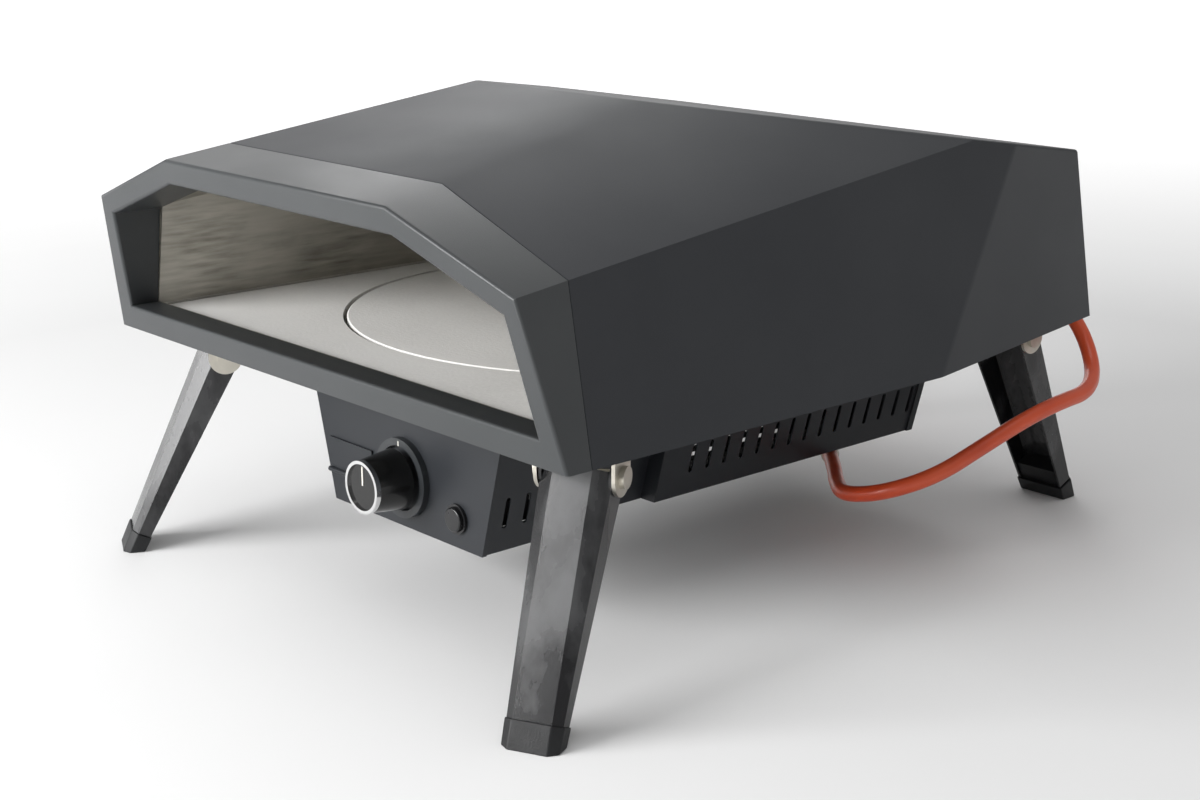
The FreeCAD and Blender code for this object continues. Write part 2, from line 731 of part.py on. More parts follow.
button_front = panel_front - button_rise
button_rear = module_front - 6.0
button = rod(button_radius, V(button_x, button_front, button_z), V(button_x, button_rear, button_z))
button_rim = [e for e in button.Edges if abs(e.BoundBox.YMax - button_front) < 0.01]
save("igniter_button", button.makeFillet(button_fillet, button_rim[:1]))
bezel = ring(button_bezel_radius, button_radius + button_clear,
             V(button_x, panel_front - bezel_thickness, button_z), V(button_x, panel_front, button_z))
sleeve = ring(button_bezel_radius - bezel_wall, button_radius + button_clear,
              V(button_x, panel_front, button_z), V(button_x, module_front, button_z))
save("button_bezel", bezel.fuse(sleeve))

# ================================================================ folding legs
foot_s = (leg_height - pivot_drop) / math.cos(lean)
bevel_angle = math.radians(leg_bevel_deg)
leg_top_s = -1.5
past_foot = 15.0            # how far a leg runs on before the ground cuts it
bore_reach = 60.0


def leg_outline(section, s, grow, back=None):
    """The corners of a leg's section at distance s below the pivot, grown by a wall."""
    web_offset, bevels, sides = section
    share = s / foot_s
    bevel = bevels[0] + (bevels[1] - bevels[0]) * share
    side = sides[0] + (sides[1] - sides[0]) * share
    fold = leg_web / 2 + grow * math.tan(bevel_angle / 2)
    wide = leg_web / 2 + bevel * math.cos(bevel_angle) + grow
    shoulder = web_offset + grow - (wide - fold) * math.tan(bevel_angle)
    rear = web_offset - bevel * math.sin(bevel_angle) - side - grow if back is None else back
    right = [V(fold, web_offset + grow, s), V(wide, shoulder, s), V(wide, rear, s)]
    return right + [V(-p.x, p.y, p.z) for p in reversed(right)]


def tapered(top, foot):
    """The flat-faced solid between two outlines with matching corners."""
    faces = [Part.Face(Part.makePolygon(outline + [outline[0]])) for outline in (top, foot)]
    for index in range(len(top)):
        quad = [top[index - 1], top[index], foot[index], foot[index - 1], top[index - 1]]
        faces.append(Part.Face(Part.makePolygon(quad)))
    solid = Part.Solid(Part.Shell(faces))
    if solid.Volume < 0:
        solid.reverse()
    return solid


def leg_taper(section, top, foot, grow, back=None):
    return tapered(leg_outline(section, top, grow, back), leg_outline(section, foot, grow, back))


def below_ground(rise):
    """Everything lower than the ground plus rise, in a leg's own axes."""
    down = V(0, -math.sin(lean), math.cos(lean))
    return beyond(down * (leg_height - pivot_drop - rise), down)


def leg_kit(section):
    """The leg, its foot, its bracket and its pivot bolt, all about the pivot's centre."""
    web_offset, bevels, sides = section
    ear_half = leg_web / 2 + bevels[0] * math.cos(bevel_angle)
    ear_radius = sides[0] + bevels[0] * math.sin(bevel_angle) - web_offset
    leg = leg_taper(section, leg_top_s, foot_s + past_foot, 0)
    channel = leg_taper(section, leg_top_s - 2 * past_foot, foot_s + 2 * past_foot, -leg_sheet,
                        back=-bore_reach)
    leg = leg.cut(channel)
    for side in (-1, 1):
        leg = leg.fuse(rod(ear_radius, V(side * ear_half, 0, 0), V(side * (ear_half - leg_sheet), 0, 0)))
    leg = leg.cut(rod(pivot_radius + pivot_clearance, V(-bore_reach, 0, 0), V(bore_reach, 0, 0)))
    leg = leg.cut(below_ground(foot_sole))

    sleeve_top = foot_s - foot_sleeve
    cap = leg_taper(section, sleeve_top, foot_s + past_foot, foot_wall)
    plug = leg_taper(section, sleeve_top - foot_plug, sleeve_top + 1, -leg_sheet)
    foot_cap = cap.fuse(plug).cut(leg).cut(below_ground(0))

    cheek_inner = ear_half + cheek_gap
    cheek_outer = cheek_inner + cheek_sheet
    plate_half_depth = cheek_radius + plate_overhang
    plate_foot = pivot_drop - cheek_sheet
    bracket = block(-cheek_outer, cheek_outer, -plate_half_depth, plate_half_depth, plate_foot, pivot_drop)
    for x0, x1 in ((-cheek_outer, -cheek_inner), (cheek_inner, cheek_outer)):
        cheek = block(x0, x1, -cheek_radius, cheek_radius, 0, plate_foot)
        bracket = bracket.fuse([cheek, rod(cheek_radius, V(x0, 0, 0), V(x1, 0, 0))])
    shank = rod(pivot_radius, V(-cheek_outer, 0, 0), V(cheek_outer, 0, 0))
    head = rod(bolt_head_radius, V(cheek_outer, 0, 0), V(cheek_outer + bolt_head_height, 0, 0))
    nut = rod(bolt_nut_radius, V(-cheek_outer - bolt_head_height, 0, 0), V(-cheek_outer, 0, 0))
    return leg, foot_cap, bracket.cut(shank), shank.fuse([head, nut])


def placed(shape, x, y, yaw_deg, tip_deg):
    """A copy with its origin at a pivot, tipped about X and then turned about Z."""
    turn = FreeCAD.Rotation(V(0, 0, 1), yaw_deg).multiply(FreeCAD.Rotation(V(1, 0, 0), tip_deg))
    copy = shape.copy()
    copy.Placement = FreeCAD.Placement(V(x, y, -pivot_drop), turn).multiply(copy.Placement)
    return copy


front_kit = leg_kit((front_web_offset, front_bevels, front_sides))
rear_kit = leg_kit((rear_web_offset, rear_bevels, rear_sides))
leg_spots = (
    ("front_right", front_leg_x, front_leg_y, front_leg_yaw_deg, front_kit),
    ("front_left", -front_leg_x, front_leg_y, -front_leg_yaw_deg, front_kit),
    ("rear_right", rear_leg_x, rear_leg_y, 180.0, rear_kit),
    ("rear_left", -rear_leg_x, rear_leg_y, 180.0, rear_kit),
)
pivot_bolts = []
for corner, x, y, yaw_deg, (leg, foot_cap, bracket, bolt) in leg_spots:
    save(corner + "_leg", placed(leg, x, y, yaw_deg, 180 - leg_lean_deg))
    save(corner + "_foot", placed(foot_cap, x, y, yaw_deg, 180 - leg_lean_deg))
    save(corner + "_bracket", placed(bracket, x, y, yaw_deg, 0))
    head_outwards = (x > 0) == (y < stone_y)
    pivot_bolts.append(placed(bolt if head_outwards else mirrored(bolt), x, y, yaw_deg, 0))
save("leg_pivot_bolts", *pivot_bolts)

# ================================================================ gas hose
hose_radius = hose_diameter / 2
inlet_direction = V(0.74, -0.67, 0)
inlet_direction.normalize()
hose_start = inlet_point + inlet_direction * barb_length
ground_z = -leg_height
clip_out = 9.0
clip_y = shell_length + clip_out
inlet_z = inlet_point.z
rear = V(0, shell_length, 0)
hose_points = [
    hose_start,
    hose_start + inlet_direction * 45,
    rear + V(122, -186, inlet_z),
    rear + V(153, -213, inlet_z + 3),
    rear + V(193, -212, inlet_z + 14),
    rear + V(222, -185, inlet_z + 29),
    rear + V(231, -145, inlet_z + 45),
    rear + V(242, -103, -64),
    rear + V(247, -65, -56),
    rear + V(246, -26, -55),
    rear + V(229, 5, -43),
    rear + V(207, 13, -12),
    rear + V(176, 11, 14),
    rear + V(130, clip_out, 27),
    rear + V(60, clip_out, 23),
    rear + V(-14, clip_out, 22),
    rear + V(-76, clip_out, 27),
    rear + V(-112, 17, 10),
    rear + V(-126, 38, -31),
    rear + V(-129, 61, -78),
    rear + V(-130, 88, -122),
    rear + V(-131, 124, -157),
    rear + V(-136, 166, ground_z + 7.5),
    rear + V(-156, 204, ground_z + 7.0),
    rear + V(-192, 228, ground_z + 9.5),
]


def rounded_path(points):
    """Straight runs joined by tangent arcs, as one wire, with the arc radii."""
    edges = []
    radii = []
    here = points[0]
    for before, corner, after in zip(points, points[1:], points[2:]):
        arrive = corner - before
        leave = after - corner
        half_turn = arrive.getAngle(leave) / 2
        setback = 0.45 * min(arrive.Length, leave.Length)
        radii.append(setback / math.tan(half_turn))
        arrive.normalize()
        leave.normalize()
        start = corner - arrive * setback
        end = corner + leave * setback
        inward = leave - arrive
        inward.normalize()
        bulge = radii[-1] * (1 / math.cos(half_turn) - 1)
        edges.append(Part.LineSegment(here, start).toShape())
        edges.append(Part.Arc(start, corner + inward * bulge, end).toShape())
        here = end
    edges.append(Part.LineSegment(here, points[-1]).toShape())
    return Part.Wire(edges), radii


hose_wire, hose_radii = rounded_path(hose_points)
section = Part.Wire(Part.makeCircle(hose_radius, hose_start, hose_points[1] - hose_start))
hose = hose_wire.makePipeShell([section], True, True)
print("hose radii", [round(radius) for radius in hose_radii])
print("hose length", round(hose_wire.Length), "volume share",
      round(hose.Volume / (math.pi * hose_radius ** 2 * hose_wire.Length), 4))
save("gas_hose", hose)

inlet = rod(inlet_radius, inlet_point - up * inlet_below, inlet_point + up * inlet_above)
inlet_nut = rod(inlet_nut_radius, inlet_point + up * inlet_nut_low, inlet_point + up * inlet_nut_high)
inlet_barb = rod(barb_radius, inlet_point, hose_start)
save("gas_inlet", inlet.fuse([inlet_nut, inlet_barb]).cut(supply_pipe))
start_ferrule = rod(hose_radius + ferrule_wall, hose_start,
                    hose_start + inlet_direction * ferrule_length).cut(hose)

hose_end = hose_points[-1]
end_direction = hose_end - hose_points[-2]
end_direction.normalize()
end_ferrule = rod(hose_radius + ferrule_wall, hose_end - end_direction * ferrule_length,
                  hose_end).cut(hose)
save("hose_ferrules", start_ferrule, end_ferrule)

end_level = V(end_direction.x, end_direction.y, 0)
end_level.normalize()
regulator_centre = hose_end + end_level * (regulator_gap + regulator_radius)
regulator_foot = V(regulator_centre.x, regulator_centre.y, ground_z)
regulator_shoulder = regulator_foot + V(0, 0, regulator_height)
regulator_body = rod(regulator_radius, regulator_foot, regulator_shoulder)
regulator_dome = Part.makeCone(regulator_radius, regulator_dome_radius, regulator_dome_height,
                               regulator_shoulder)
regulator_barb = rod(barb_radius, hose_end, hose_end + end_level * (regulator_gap + 8))
nut_start = regulator_foot + end_level * (regulator_radius - 6) + V(0, 0, regulator_nut_radius)
regulator_nut = rod(regulator_nut_radius, nut_start, nut_start + end_level * regulator_nut_length)
regulator = regulator_body.fuse([regulator_dome, regulator_barb, regulator_nut])
save("regulator", regulator.cut(hose))

clips = []
for x, z in clip_spots:
    clip_left = x - clip_width / 2
    clip_right = x + clip_width / 2
    band = rod(hose_radius + clip_sheet, V(clip_left, clip_y, z), V(clip_right, clip_y, z))
    seat_y = shell_length - rear_lean * z
    arm_foot = z + hose_radius
    arm = block(clip_left, clip_right, seat_y, clip_y, arm_foot, arm_foot + clip_sheet)
    tab = block(clip_left, clip_right, seat_y - 3, seat_y + clip_sheet, arm_foot, arm_foot + clip_width)
    clips.append(band.fuse([tab, arm]).cut([hose, inside_shell]))
save("hose_clips", *clips)

# ================================================================ screws
screw_radius = 4.0
screw_height = 2.2
side_screw_y = 105.0
side_screw_drop = 30.0
rear_screw_rows = ((16.0, 190.0), (118.0, 185.0))
screws = []
for side in (-1, 1):
    side_out = V(side, 0, -box_flare)
    side_out.normalize()
    seat = V(side * (control_half_width + box_flare * (box_depth - side_screw_drop)), side_screw_y,
             -side_screw_drop)
    screws.append(rod(screw_radius, seat, seat + side_out * screw_height))
rear_out = V(0, 1, rear_lean)
rear_out.normalize()
for z, reach in rear_screw_rows:
    for x in (-reach, 0, reach):
        seat = V(x, shell_length - rear_lean * z, z)
        screws.append(rod(screw_radius, seat, seat + rear_out * screw_height))
save("case_screws", *screws)
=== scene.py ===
import json
import math

import bmesh
import bpy
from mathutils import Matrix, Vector


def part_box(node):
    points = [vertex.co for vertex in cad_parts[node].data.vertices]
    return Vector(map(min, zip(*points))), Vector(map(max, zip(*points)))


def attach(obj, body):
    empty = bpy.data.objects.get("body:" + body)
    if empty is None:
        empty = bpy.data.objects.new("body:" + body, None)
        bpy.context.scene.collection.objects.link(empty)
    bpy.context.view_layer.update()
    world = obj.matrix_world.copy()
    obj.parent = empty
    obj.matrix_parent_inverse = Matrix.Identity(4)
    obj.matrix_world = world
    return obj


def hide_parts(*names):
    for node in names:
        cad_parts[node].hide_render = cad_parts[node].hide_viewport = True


# A tabletop gas pizza oven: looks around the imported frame, in metres.

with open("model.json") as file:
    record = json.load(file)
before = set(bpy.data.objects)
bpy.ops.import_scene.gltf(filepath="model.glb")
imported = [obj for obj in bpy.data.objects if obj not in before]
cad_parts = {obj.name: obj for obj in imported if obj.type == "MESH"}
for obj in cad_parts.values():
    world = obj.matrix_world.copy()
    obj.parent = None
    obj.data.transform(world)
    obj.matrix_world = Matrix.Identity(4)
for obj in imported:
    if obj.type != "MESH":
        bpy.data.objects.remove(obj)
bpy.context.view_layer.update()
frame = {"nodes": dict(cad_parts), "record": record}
nodes = frame["nodes"]
scene = bpy.context.scene

ROOT = "oven"
MM = 0.001
WELD = 1e-6                       # vertices closer than this are one vertex
CORNERS = ("front_right", "front_left", "rear_right", "rear_left")
shell_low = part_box("outer_shell")[0]
seam_y = shell_low[1]
SEAM_FROM_EDGE = 20 * MM
stand = Vector((0.0, seam_y - SEAM_FROM_EDGE, shell_low[2]))


def at(x, y, z):
    """A place in the part's own layout, in mm from the shell's front lower edge."""
    return Vector((x, y, z)) * MM + stand


def piece(name, mesh, body=ROOT):
    item = bpy.data.objects.new(name, mesh)
    scene.collection.objects.link(item)
    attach(item, body)
    return item


def dress(item, *materials):
    item.data.materials.clear()
    for material in materials:
        item.data.materials.append(material)


# ---------------------------------------------------------------- camera and stage
LENS_MM = 58.02
SENSOR_MM = 36.0
CAMERA_PLACE = (1102.3, -717.5, 348.5)
CAMERA_DOWN_DEG = 15.313
CAMERA_LEFT_DEG = 48.206
camera_data = bpy.data.cameras.new("camera")
camera_data.lens = LENS_MM
camera_data.sensor_width = SENSOR_MM
camera = bpy.data.objects.new("camera", camera_data)
scene.collection.objects.link(camera)
camera.location = at(*CAMERA_PLACE)
camera.rotation_euler = (math.radians(90 - CAMERA_DOWN_DEG), 0.0, math.radians(CAMERA_LEFT_DEG))
scene.camera = camera


# ---------------------------------------------------------------- materials
class Look:
    """A Principled material whose colour, roughness and grain come from noise."""

    def __init__(self, name, roughness=0.5, metallic=0.0, **sockets):
        self.material = bpy.data.materials.new(name)
        self.material.use_nodes = True
        self.tree = self.material.node_tree
        self.shader = self.tree.nodes["Principled BSDF"]
        self.shader.inputs["Roughness"].default_value = roughness
        self.shader.inputs["Metallic"].default_value = metallic
        for socket, value in sockets.items():
            self.shader.inputs[socket.replace("_", " ")].default_value = value
        self.place = self.tree.nodes.new("ShaderNodeTexCoord").outputs["Object"]

    def link(self, output, target):
        self.tree.links.new(output, target)

    def noise(self, scale, detail=3.0, stretch=(1, 1, 1), low=0.3, high=0.7):
        """Noise of that many features per metre, spread over 0 to 1."""
        mapping = self.tree.nodes.new("ShaderNodeMapping")
        mapping.inputs["Scale"].default_value = stretch
        self.link(self.place, mapping.inputs["Vector"])
        texture = self.tree.nodes.new("ShaderNodeTexNoise")
        texture.inputs["Scale"].default_value = scale
        texture.inputs["Detail"].default_value = detail
        self.link(mapping.outputs["Vector"], texture.inputs["Vector"])
        return self.spread(texture.outputs["Fac"], low, high, 0.0, 1.0)

    def spread(self, value, low, high, start, end):
        """The value's range from low to high, drawn out from start to end."""
        node = self.tree.nodes.new("ShaderNodeMapRange")
        self.link(value, node.inputs["Value"])
        limits = {"From Min": low, "From Max": high, "To Min": start, "To Max": end}
        for socket, number in limits.items():
            node.inputs[socket].default_value = number
        return node.outputs["Result"]

    def mix(self, share, first, second):
        """From the first colour to the second; each is a tuple or a node's output."""
        node = self.tree.nodes.new("ShaderNodeMix")
        node.data_type = "RGBA"
        self.link(share, node.inputs[0])
        for socket, colour in ((node.inputs[6], first), (node.inputs[7], second)):
            if isinstance(colour, tuple):
                socket.default_value = (*colour, 1.0)
            else:
                self.link(colour, socket)
        return node.outputs[2]

    def colour(self, output):
        self.link(output, self.shader.inputs["Base Color"])
        return self

    def rough(self, share, start, end):
        self.link(self.spread(share, 0.0, 1.0, start, end), self.shader.inputs["Roughness"])
        return self

    def bump(self, height, depth):
        """Relief of that depth in metres, on top of any relief already there."""
        node = self.tree.nodes.new("ShaderNodeBump")
        node.inputs["Distance"].default_value = depth
        self.link(height, node.inputs["Height"])
        if self.shader.inputs["Normal"].links:
            self.link(self.shader.inputs["Normal"].links[0].from_socket, node.inputs["Normal"])
        self.link(node.outputs["Normal"], self.shader.inputs["Normal"])
        return self


def paint(name, dark, light, roughness, peel=0.00003, **sockets):
    """Powder coat: faint clouds in the colour, and orange peel."""
    look = Look(name, **sockets)
    clouds = look.noise(9, 4)
    look.colour(look.mix(clouds, dark, light))
    look.rough(look.noise(14, 5), *roughness)
    look.bump(look.noise(1300, 2), peel)
    return look.material


def metal(name, dark, light, roughness, stretch=(1, 1, 1), scale=220, depth=0.00002):
    """Bare metal: streaks or fine grain, and smudges."""
    look = Look(name, metallic=1.0)
    streaks = look.noise(scale, 4, stretch)
    smudges = look.noise(13, 5)
    look.colour(look.mix(smudges, look.mix(streaks, dark, light), light))
    look.rough(smudges, *roughness)
    look.bump(streaks, depth)
    return look.material


def plastic(name, dark, light, roughness, grain=900, depth=0.00002, **sockets):
    """Moulded plastic: a fine grain over slow changes in colour."""
    look = Look(name, **sockets)
    look.colour(look.mix(look.noise(40, 3), dark, light))
    look.rough(look.noise(60, 4), *roughness)
    look.bump(look.noise(grain, 2), depth)
    return look.material


def stone(name, dark, light, roughness, speck=420, depth=0.00008):
    """Stone, board, wool or ceramic: pale specks over broad clouds."""
    look = Look(name)
    broad = look.noise(7, 5)
    fine = look.noise(speck, 3, low=0.35, high=0.75)
    look.colour(look.mix(fine, look.mix(broad, dark, light), light))
    look.rough(broad, *roughness)
    look.bump(fine, depth)
    return look.material


shell_paint = paint("shell_paint", (0.029, 0.031, 0.035), (0.034, 0.036, 0.040), (0.46, 0.50),
                    Specular_IOR_Level=0.22)
frame_paint = paint("frame_paint", (0.034, 0.037, 0.039), (0.041, 0.044, 0.046), (0.32, 0.38),
                    Specular_IOR_Level=0.4)
panel_paint = paint("panel_paint", (0.014, 0.016, 0.019), (0.019, 0.021, 0.025), (0.36, 0.44),
                    Specular_IOR_Level=0.35)
inner_black = paint("inner_black", (0.004, 0.004, 0.004), (0.007, 0.007, 0.007), (0.55, 0.65))
stainless = metal("stainless", (0.22, 0.21, 0.18), (0.52, 0.50, 0.45), (0.28, 0.46), (1, 1, 9), 24)
steel_sheet = metal("steel_sheet", (0.34, 0.34, 0.34), (0.44, 0.44, 0.44), (0.34, 0.50))
bracket_zinc = metal("bracket_zinc", (0.45, 0.43, 0.38), (0.62, 0.59, 0.52), (0.28, 0.42), scale=90)
chrome_trim = metal("chrome_trim", (0.72, 0.72, 0.72), (0.80, 0.80, 0.80), (0.06, 0.12), depth=0.000004)
brass_fitting = metal("brass_fitting", (0.55, 0.40, 0.16), (0.68, 0.52, 0.24), (0.24, 0.36))
motor_metal = metal("motor_metal", (0.42, 0.42, 0.43), (0.55, 0.55, 0.56), (0.45, 0.60), scale=700)
regulator_metal = metal("regulator_metal", (0.30, 0.31, 0.32), (0.42, 0.43, 0.44), (0.40, 0.55), scale=500)
screw_steel = metal("screw_steel", (0.36, 0.36, 0.36), (0.50, 0.50, 0.50), (0.25, 0.38))
hearth_stone = stone("hearth_stone", (0.80, 0.79, 0.77), (0.88, 0.87, 0.85), (0.55, 0.75))
fibre_board = stone("fibre_board", (0.38, 0.34, 0.29), (0.50, 0.46, 0.40), (0.85, 0.95), 260, 0.0003)
ceramic_fibre = stone("ceramic_fibre", (0.55, 0.53, 0.49), (0.70, 0.68, 0.64), (0.95, 1.0), 300, 0.0006)
insulator = stone("insulator", (0.72, 0.70, 0.66), (0.82, 0.80, 0.76), (0.45, 0.6), 700, 0.00002)
knob_plastic = plastic("knob_plastic", (0.005, 0.005, 0.005), (0.008, 0.008, 0.008), (0.12, 0.2),
                       depth=0.000008)
dial_plastic = plastic("dial_plastic", (0.020, 0.022, 0.025), (0.028, 0.031, 0.034), (0.30, 0.40))
button_plastic = plastic("button_plastic", (0.008, 0.008, 0.009), (0.014, 0.014, 0.015), (0.22, 0.32))
case_plastic = plastic("case_plastic", (0.010, 0.010, 0.010), (0.018, 0.018, 0.018), (0.5, 0.6))
foot_plastic = plastic("foot_plastic", (0.008, 0.008, 0.009), (0.014, 0.015, 0.016), (0.42, 0.55),
                       700, 0.00005,
                       Specular_IOR_Level=0.3)
cell_wrap = plastic("cell_wrap", (0.05, 0.06, 0.08), (0.08, 0.09, 0.11), (0.25, 0.35))
mark_white = plastic("mark_white", (0.62, 0.60, 0.54), (0.72, 0.70, 0.64), (0.4, 0.5))


def leg_look_with_painted_reflection():
    """Gloss black, with pale clouds in its colour that are painted reflection on the coat."""
    look = Look("leg_paint", Specular_IOR_Level=0.3, Coat_Weight=0.25, Coat_Roughness=0.12)
    clouds = look.noise(28, 6, (1, 1, 0.5), 0.42, 0.66)
    # The pale end of these clouds is painted reflection, not the coat's own colour; the dark end is the
    # black coat.
    look.colour(look.mix(clouds, (0.008, 0.008, 0.009), (0.070, 0.071, 0.073)))
    look.rough(clouds, 0.16, 0.40)
    look.bump(look.noise(900, 2), 0.00002)
    return look.material


def hose_look():
    """Orange rubber with a dull sheen."""
    look = Look("hose_rubber", Coat_Weight=0.25, Coat_Roughness=0.3)
    look.colour(look.mix(look.noise(25, 4), (0.56, 0.055, 0.012), (0.66, 0.085, 0.022)))
    look.rough(look.noise(60, 4), 0.32, 0.44)
    look.bump(look.noise(700, 2), 0.00004)
    return look.material


leg_paint = leg_look_with_painted_reflection()
hose_rubber = hose_look()

finishes = {
    "shell_paint": shell_paint,
    "frame_paint": frame_paint,
    "panel_paint": panel_paint,
    "stainless": stainless,
    "steel_sheet": steel_sheet,
    "bracket_zinc": bracket_zinc,
    "chrome_trim": chrome_trim,
    "brass_fitting": brass_fitting,
    "motor_metal": motor_metal,
    "regulator_metal": regulator_metal,
    "screw_steel": screw_steel,
    "hearth_stone": hearth_stone,
    "fibre_board": fibre_board,
    "ceramic_fibre": ceramic_fibre,
    "insulator": insulator,
    "knob_plastic": knob_plastic,
    "dial_plastic": dial_plastic,
    "button_plastic": button_plastic,
    "case_plastic": case_plastic,
    "foot_plastic": foot_plastic,
    "cell_wrap": cell_wrap,
    "leg_paint": leg_paint,
    "hose_rubber": hose_rubber,
}
slot_of = {part["node"]: part["material_slot"] for part in frame["record"]["subparts"]}
for node, slot in slot_of.items():
    dress(nodes[node], finishes[slot])

# ---------------------------------------------------------------- hose
HOSE_DIAMETER = 12.5 * MM
hose_route = [
    (55.34, 478.92, -127), (88.70, 448.72, -127), (122, 414, -127), (153, 387, -124),
    (193, 388, -113), (222, 415, -98), (231, 455, -82), (242, 497, -64), (247, 535, -56),
    (246, 574, -55), (229, 605, -43), (207, 613, -12), (176, 611, 14), (130, 609, 27),
    (60, 609, 23), (-14, 609, 22), (-76, 609, 27), (-112, 617, 10), (-126, 638, -31),
    (-129, 661, -78), (-130, 688, -122), (-131, 724, -157), (-136, 766, -170.5), (-156, 804, -171),
    (-192, 828, -168.5),
]
hose_curve = bpy.data.curves.new("hose", "CURVE")
hose_curve.dimensions = "3D"
hose_curve.bevel_depth = 1.0      # each point's radius is the hose's own
hose_curve.bevel_resolution = 8
hose_curve.resolution_u = 16
line = hose_curve.splines.new("NURBS")
line.points.add(len(hose_route) - 1)
for point, place in zip(line.points, hose_route):
    point.co = (*at(*place), 1.0)
    point.radius = HOSE_DIAMETER / 2
line.order_u = 3
line.use_endpoint_u = True
hose = piece("hose", hose_curve)
dress(hose, hose_rubber)
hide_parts("gas_hose")


# ---------------------------------------------------------------- rounded sheet metal
FOLD_RADIUS = 2.5 * MM
SEAM_RADIUS = 0.8 * MM
SMALLEST_FOLD = 15 * MM           # a fold's length, and the breadth of the faces beside it
SEAM_LIP = (3 * MM, 5.5 * MM)     # the breadth of the front frame's outer lip
MIDDLE_HEIGHT = 70 * MM           # about the mouth's middle, above the shell's lower edge


def shade(form, crease_deg):
    """Smooth faces, sharp where two meet at more than the crease angle."""
    for face in form.faces:
        face.smooth = True
    for edge in form.edges:
        edge.smooth = len(edge.link_faces) == 2 and edge.calc_face_angle() < math.radians(crease_deg)


def stands_for(node, name, mesh, body, *materials):
    """The piece that shows a mesh in place of a node, which it hides, dressed in the given materials."""
    item = piece(name, mesh, body)
    item.modifiers.new("even_normals", "WEIGHTED_NORMAL").keep_sharp = True
    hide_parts(node)
    dress(item, *materials)


def breadth(edge):
    return min(face.calc_area() for face in edge.link_faces) / edge.calc_length()


def on_outer_lip(edge):
    """Whether an edge runs round the outside of the seam, where the front meets the shell."""
    middle = (edge.verts[0].co + edge.verts[1].co) / 2
    outward = Vector((middle.x, 0, middle.z - shell_low[2]))
    flanks = [face for face in edge.link_faces if abs(face.normal.y) < 0.5]
    return (edge.is_convex and SEAM_LIP[0] < breadth(edge) < SEAM_LIP[1]
            and all(abs(vertex.co.y - seam_y) < 0.1 * MM for vertex in edge.verts)
            and any(face.normal.dot(outward) > 0.02 for face in flanks))


def bevel(form, edges, width, segments, clamp):
    bmesh.ops.bevel(form, geom=edges, offset=width, segments=segments, profile=0.5,
                    affect="EDGES", clamp_overlap=clamp)


def rounded(node, name, *materials):
    """A folded sheet node with its folds rounded, and a second material on its inner sides."""
    mesh = nodes[node].data.copy()
    form = bmesh.new()
    form.from_mesh(mesh)
    bmesh.ops.remove_doubles(form, verts=form.verts, dist=WELD)
    # A face round the mouth has to stay in two halves: a face with a hole can't be kept.
    halves = bmesh.ops.bisect_plane(form, geom=form.verts[:] + form.edges[:] + form.faces[:],
                                    plane_co=(0, 0, 0), plane_no=(1, 0, 0), dist=WELD)
    for cut in halves["geom_cut"]:
        if isinstance(cut, bmesh.types.BMEdge):
            cut.seam = True
    bmesh.ops.dissolve_limit(form, angle_limit=math.radians(0.2), verts=form.verts,
                             edges=form.edges, delimit={"SEAM"})
    folds = [edge for edge in form.edges
             if edge.is_convex and edge.calc_face_angle() > math.radians(3)
             and min(breadth(edge), edge.calc_length()) > SMALLEST_FOLD]
    bevel(form, [edge for edge in form.edges if on_outer_lip(edge)], SEAM_RADIUS, 2, True)
    bevel(form, [edge for edge in folds if edge.is_valid], FOLD_RADIUS, 4, False)
    if len(materials) > 1:
        for face in form.faces:
            centre = face.calc_center_median()
            inward = Vector((-centre.x, 0, shell_low[2] + MIDDLE_HEIGHT - centre.z))
            if face.normal.dot(inward) > 0 and abs(face.normal.y) < 0.1:
                face.material_index = 1
    shade(form, 30)
    form.to_mesh(mesh)
    form.free()
    stands_for(node, name, mesh, ROOT, *materials)


def softened(node, width, body=ROOT):
    """A copy of a node with its sharp edges broken, so that they catch the light."""
    mesh = nodes[node].data.copy()
    form = bmesh.new()
    form.from_mesh(mesh)
    bmesh.ops.remove_doubles(form, verts=form.verts, dist=WELD)
    sharp = [edge for edge in form.edges if edge.is_manifold and edge.is_convex
             and edge.calc_face_angle() > math.radians(25)]
    bevel(form, sharp, width, 2, True)
    shade(form, 35)
    form.to_mesh(mesh)
    form.free()
    stands_for(node, node + "_looks", mesh, body, finishes[slot_of[node]])


rounded("outer_shell", "shell", shell_paint)
rounded("front_frame", "front", frame_paint, inner_black)
for node in ("control_panel", "control_box", "burner_box", "drive_housing"):
    softened(node, 0.5 * MM)
softened("battery_door", 0.45 * MM, "battery_door")
for corner in CORNERS:
    softened(corner + "_leg", 0.6 * MM, corner + "_leg")
    softened(corner + "_foot", 1.0 * MM, corner + "_leg")

# ---------------------------------------------------------------- knob and dial
knob_low, knob_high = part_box("control_knob")
dial_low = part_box("dial_bezel")[0]
knob_axis = Vector(((knob_low[0] + knob_high[0]) / 2, 0, (knob_low[2] + knob_high[2]) / 2))


def bar(name, width, foot, top, front_y, depth, body):
    """A pale line on a face that looks forward, from foot to top above the knob's axis."""
    form = bmesh.new()
    bmesh.ops.create_cube(form, size=1.0)
    for vertex in form.verts:
        vertex.co = Vector((knob_axis.x + vertex.co.x * width,
                            front_y + (vertex.co.y + 0.5) * depth,
                            knob_axis.z + foot + (vertex.co.z + 0.5) * (top - foot)))
    bmesh.ops.bevel(form, geom=form.edges[:], offset=depth * 0.3, segments=2, profile=0.5,
                    affect="EDGES")
    mesh = bpy.data.meshes.new(name)
    form.to_mesh(mesh)
    form.free()
    item = piece(name, mesh, body)
    dress(item, mark_white)


bar("knob_pointer", 1.6 * MM, 1 * MM, 15.5 * MM, knob_low[1] - 0.5 * MM, 0.9 * MM,
    "control_knob")
bar("dial_tick", 1.3 * MM, 24.4 * MM, 28.2 * MM, dial_low[1] - 0.15 * MM, 0.5 * MM,
    ROOT)

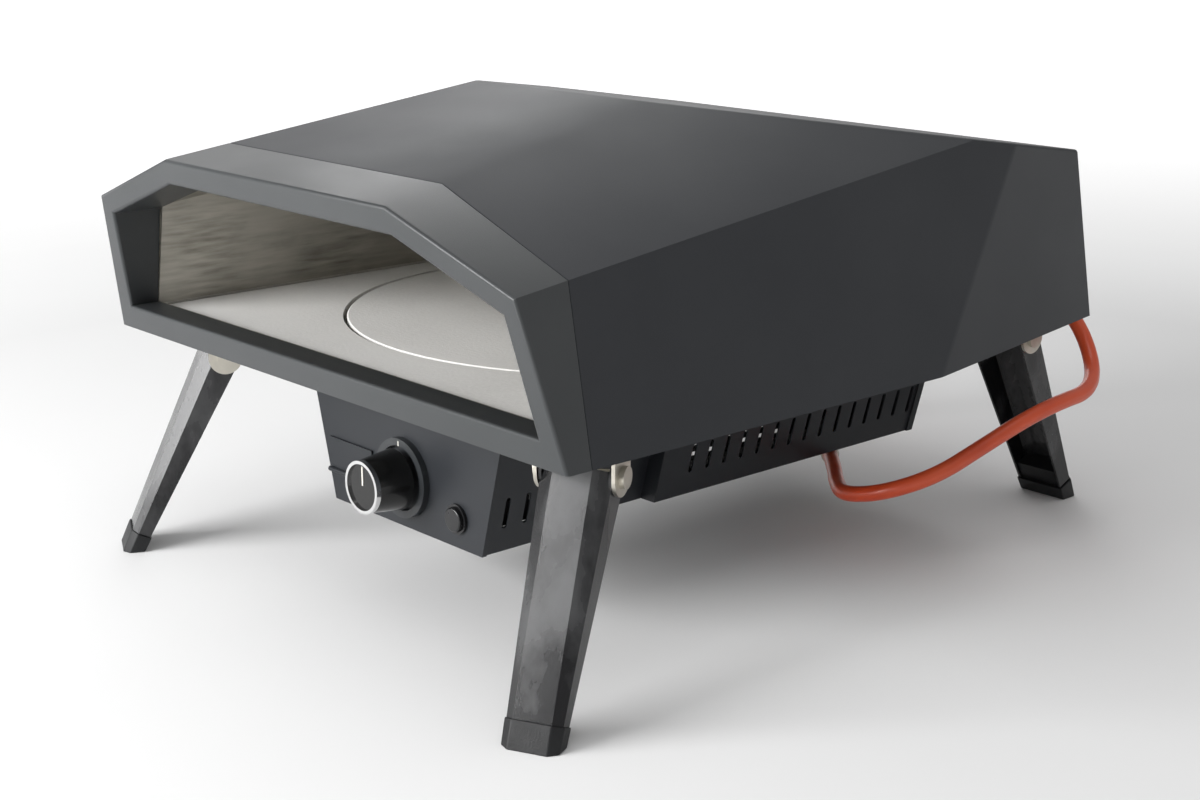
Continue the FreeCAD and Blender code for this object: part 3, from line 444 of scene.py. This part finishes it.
# ---------------------------------------------------------------- floor and light
FLOOR_HALF = 14.0
floor_mesh = bpy.data.meshes.new("floor")
floor_corners = [(x * FLOOR_HALF, y * FLOOR_HALF, 0) for x, y in ((-1, -1), (1, -1), (1, 1), (-1, 1))]
floor_mesh.from_pydata(floor_corners, [], [(0, 1, 2, 3)])
floor = bpy.data.objects.new("floor", floor_mesh)
scene.collection.objects.link(floor)
floor_look = Look("floor", roughness=0.9)
floor_look.colour(floor_look.mix(floor_look.noise(2, 2), (0.80, 0.80, 0.80), (0.82, 0.82, 0.82)))
# Far from the oven the floor glows, so that it ends in white.
GLOW_FROM = 1.0
GLOW_FULL = 3.2
distance = floor_look.tree.nodes.new("ShaderNodeVectorMath")
distance.operation = "LENGTH"
floor_look.link(floor_look.place, distance.inputs[0])
glow = floor_look.spread(distance.outputs["Value"], GLOW_FROM, GLOW_FULL, 0.0, 0.75)
floor_look.link(glow, floor_look.shader.inputs["Emission Strength"])
floor_look.shader.inputs["Emission Color"].default_value = (1.0, 1.0, 1.0, 1.0)
dress(floor, floor_look.material)

# The sky is white behind the oven, as the camera sees it, and dimmer all round.
BEHIND = (-0.745, 0.667, 0.0)
sky_limits = {"From Min": 0.78, "From Max": 0.90, "To Min": 0.42, "To Max": 1.0}
world = bpy.data.worlds.new("studio")
world.use_nodes = True
sky = world.node_tree
aim = sky.nodes.new("ShaderNodeTexCoord").outputs["Generated"]
ahead = sky.nodes.new("ShaderNodeVectorMath")
ahead.operation = "DOT_PRODUCT"
ahead.inputs[1].default_value = BEHIND
sky.links.new(aim, ahead.inputs[0])
window = sky.nodes.new("ShaderNodeMapRange")
for socket, number in sky_limits.items():
    window.inputs[socket].default_value = number
sky.links.new(ahead.outputs["Value"], window.inputs["Value"])
sky.links.new(window.outputs["Result"], sky.nodes["Background"].inputs["Strength"])
sky.nodes["Background"].inputs["Color"].default_value = (1.0, 1.0, 1.0, 1.0)
scene.world = world
scene.view_settings.view_transform = "Standard"


def softbox(name, place, target, width, height, power):
    """A rectangular light of that many watts, turned to the target."""
    data = bpy.data.lights.new(name, "AREA")
    data.shape = "RECTANGLE"
    data.size = width
    data.size_y = height
    data.energy = power
    light = bpy.data.objects.new(name, data)
    scene.collection.objects.link(light)
    light.location = place
    light.rotation_euler = (Vector(target) - Vector(place)).to_track_quat("-Z", "Y").to_euler()


softbox("key", (-0.7, -2.5, 0.95), (0, -0.1, 0.22), 1.8, 1.1, 100)
softbox("behind", (-1.9, 1.45, 1.5), (0, -0.2, 0.3), 1.1, 0.4, 8)
softbox("overhead", (0.5, -0.7, 2.6), (0, 0, 0.2), 1.8, 1.6, 17)

bpy.context.view_layer.update()
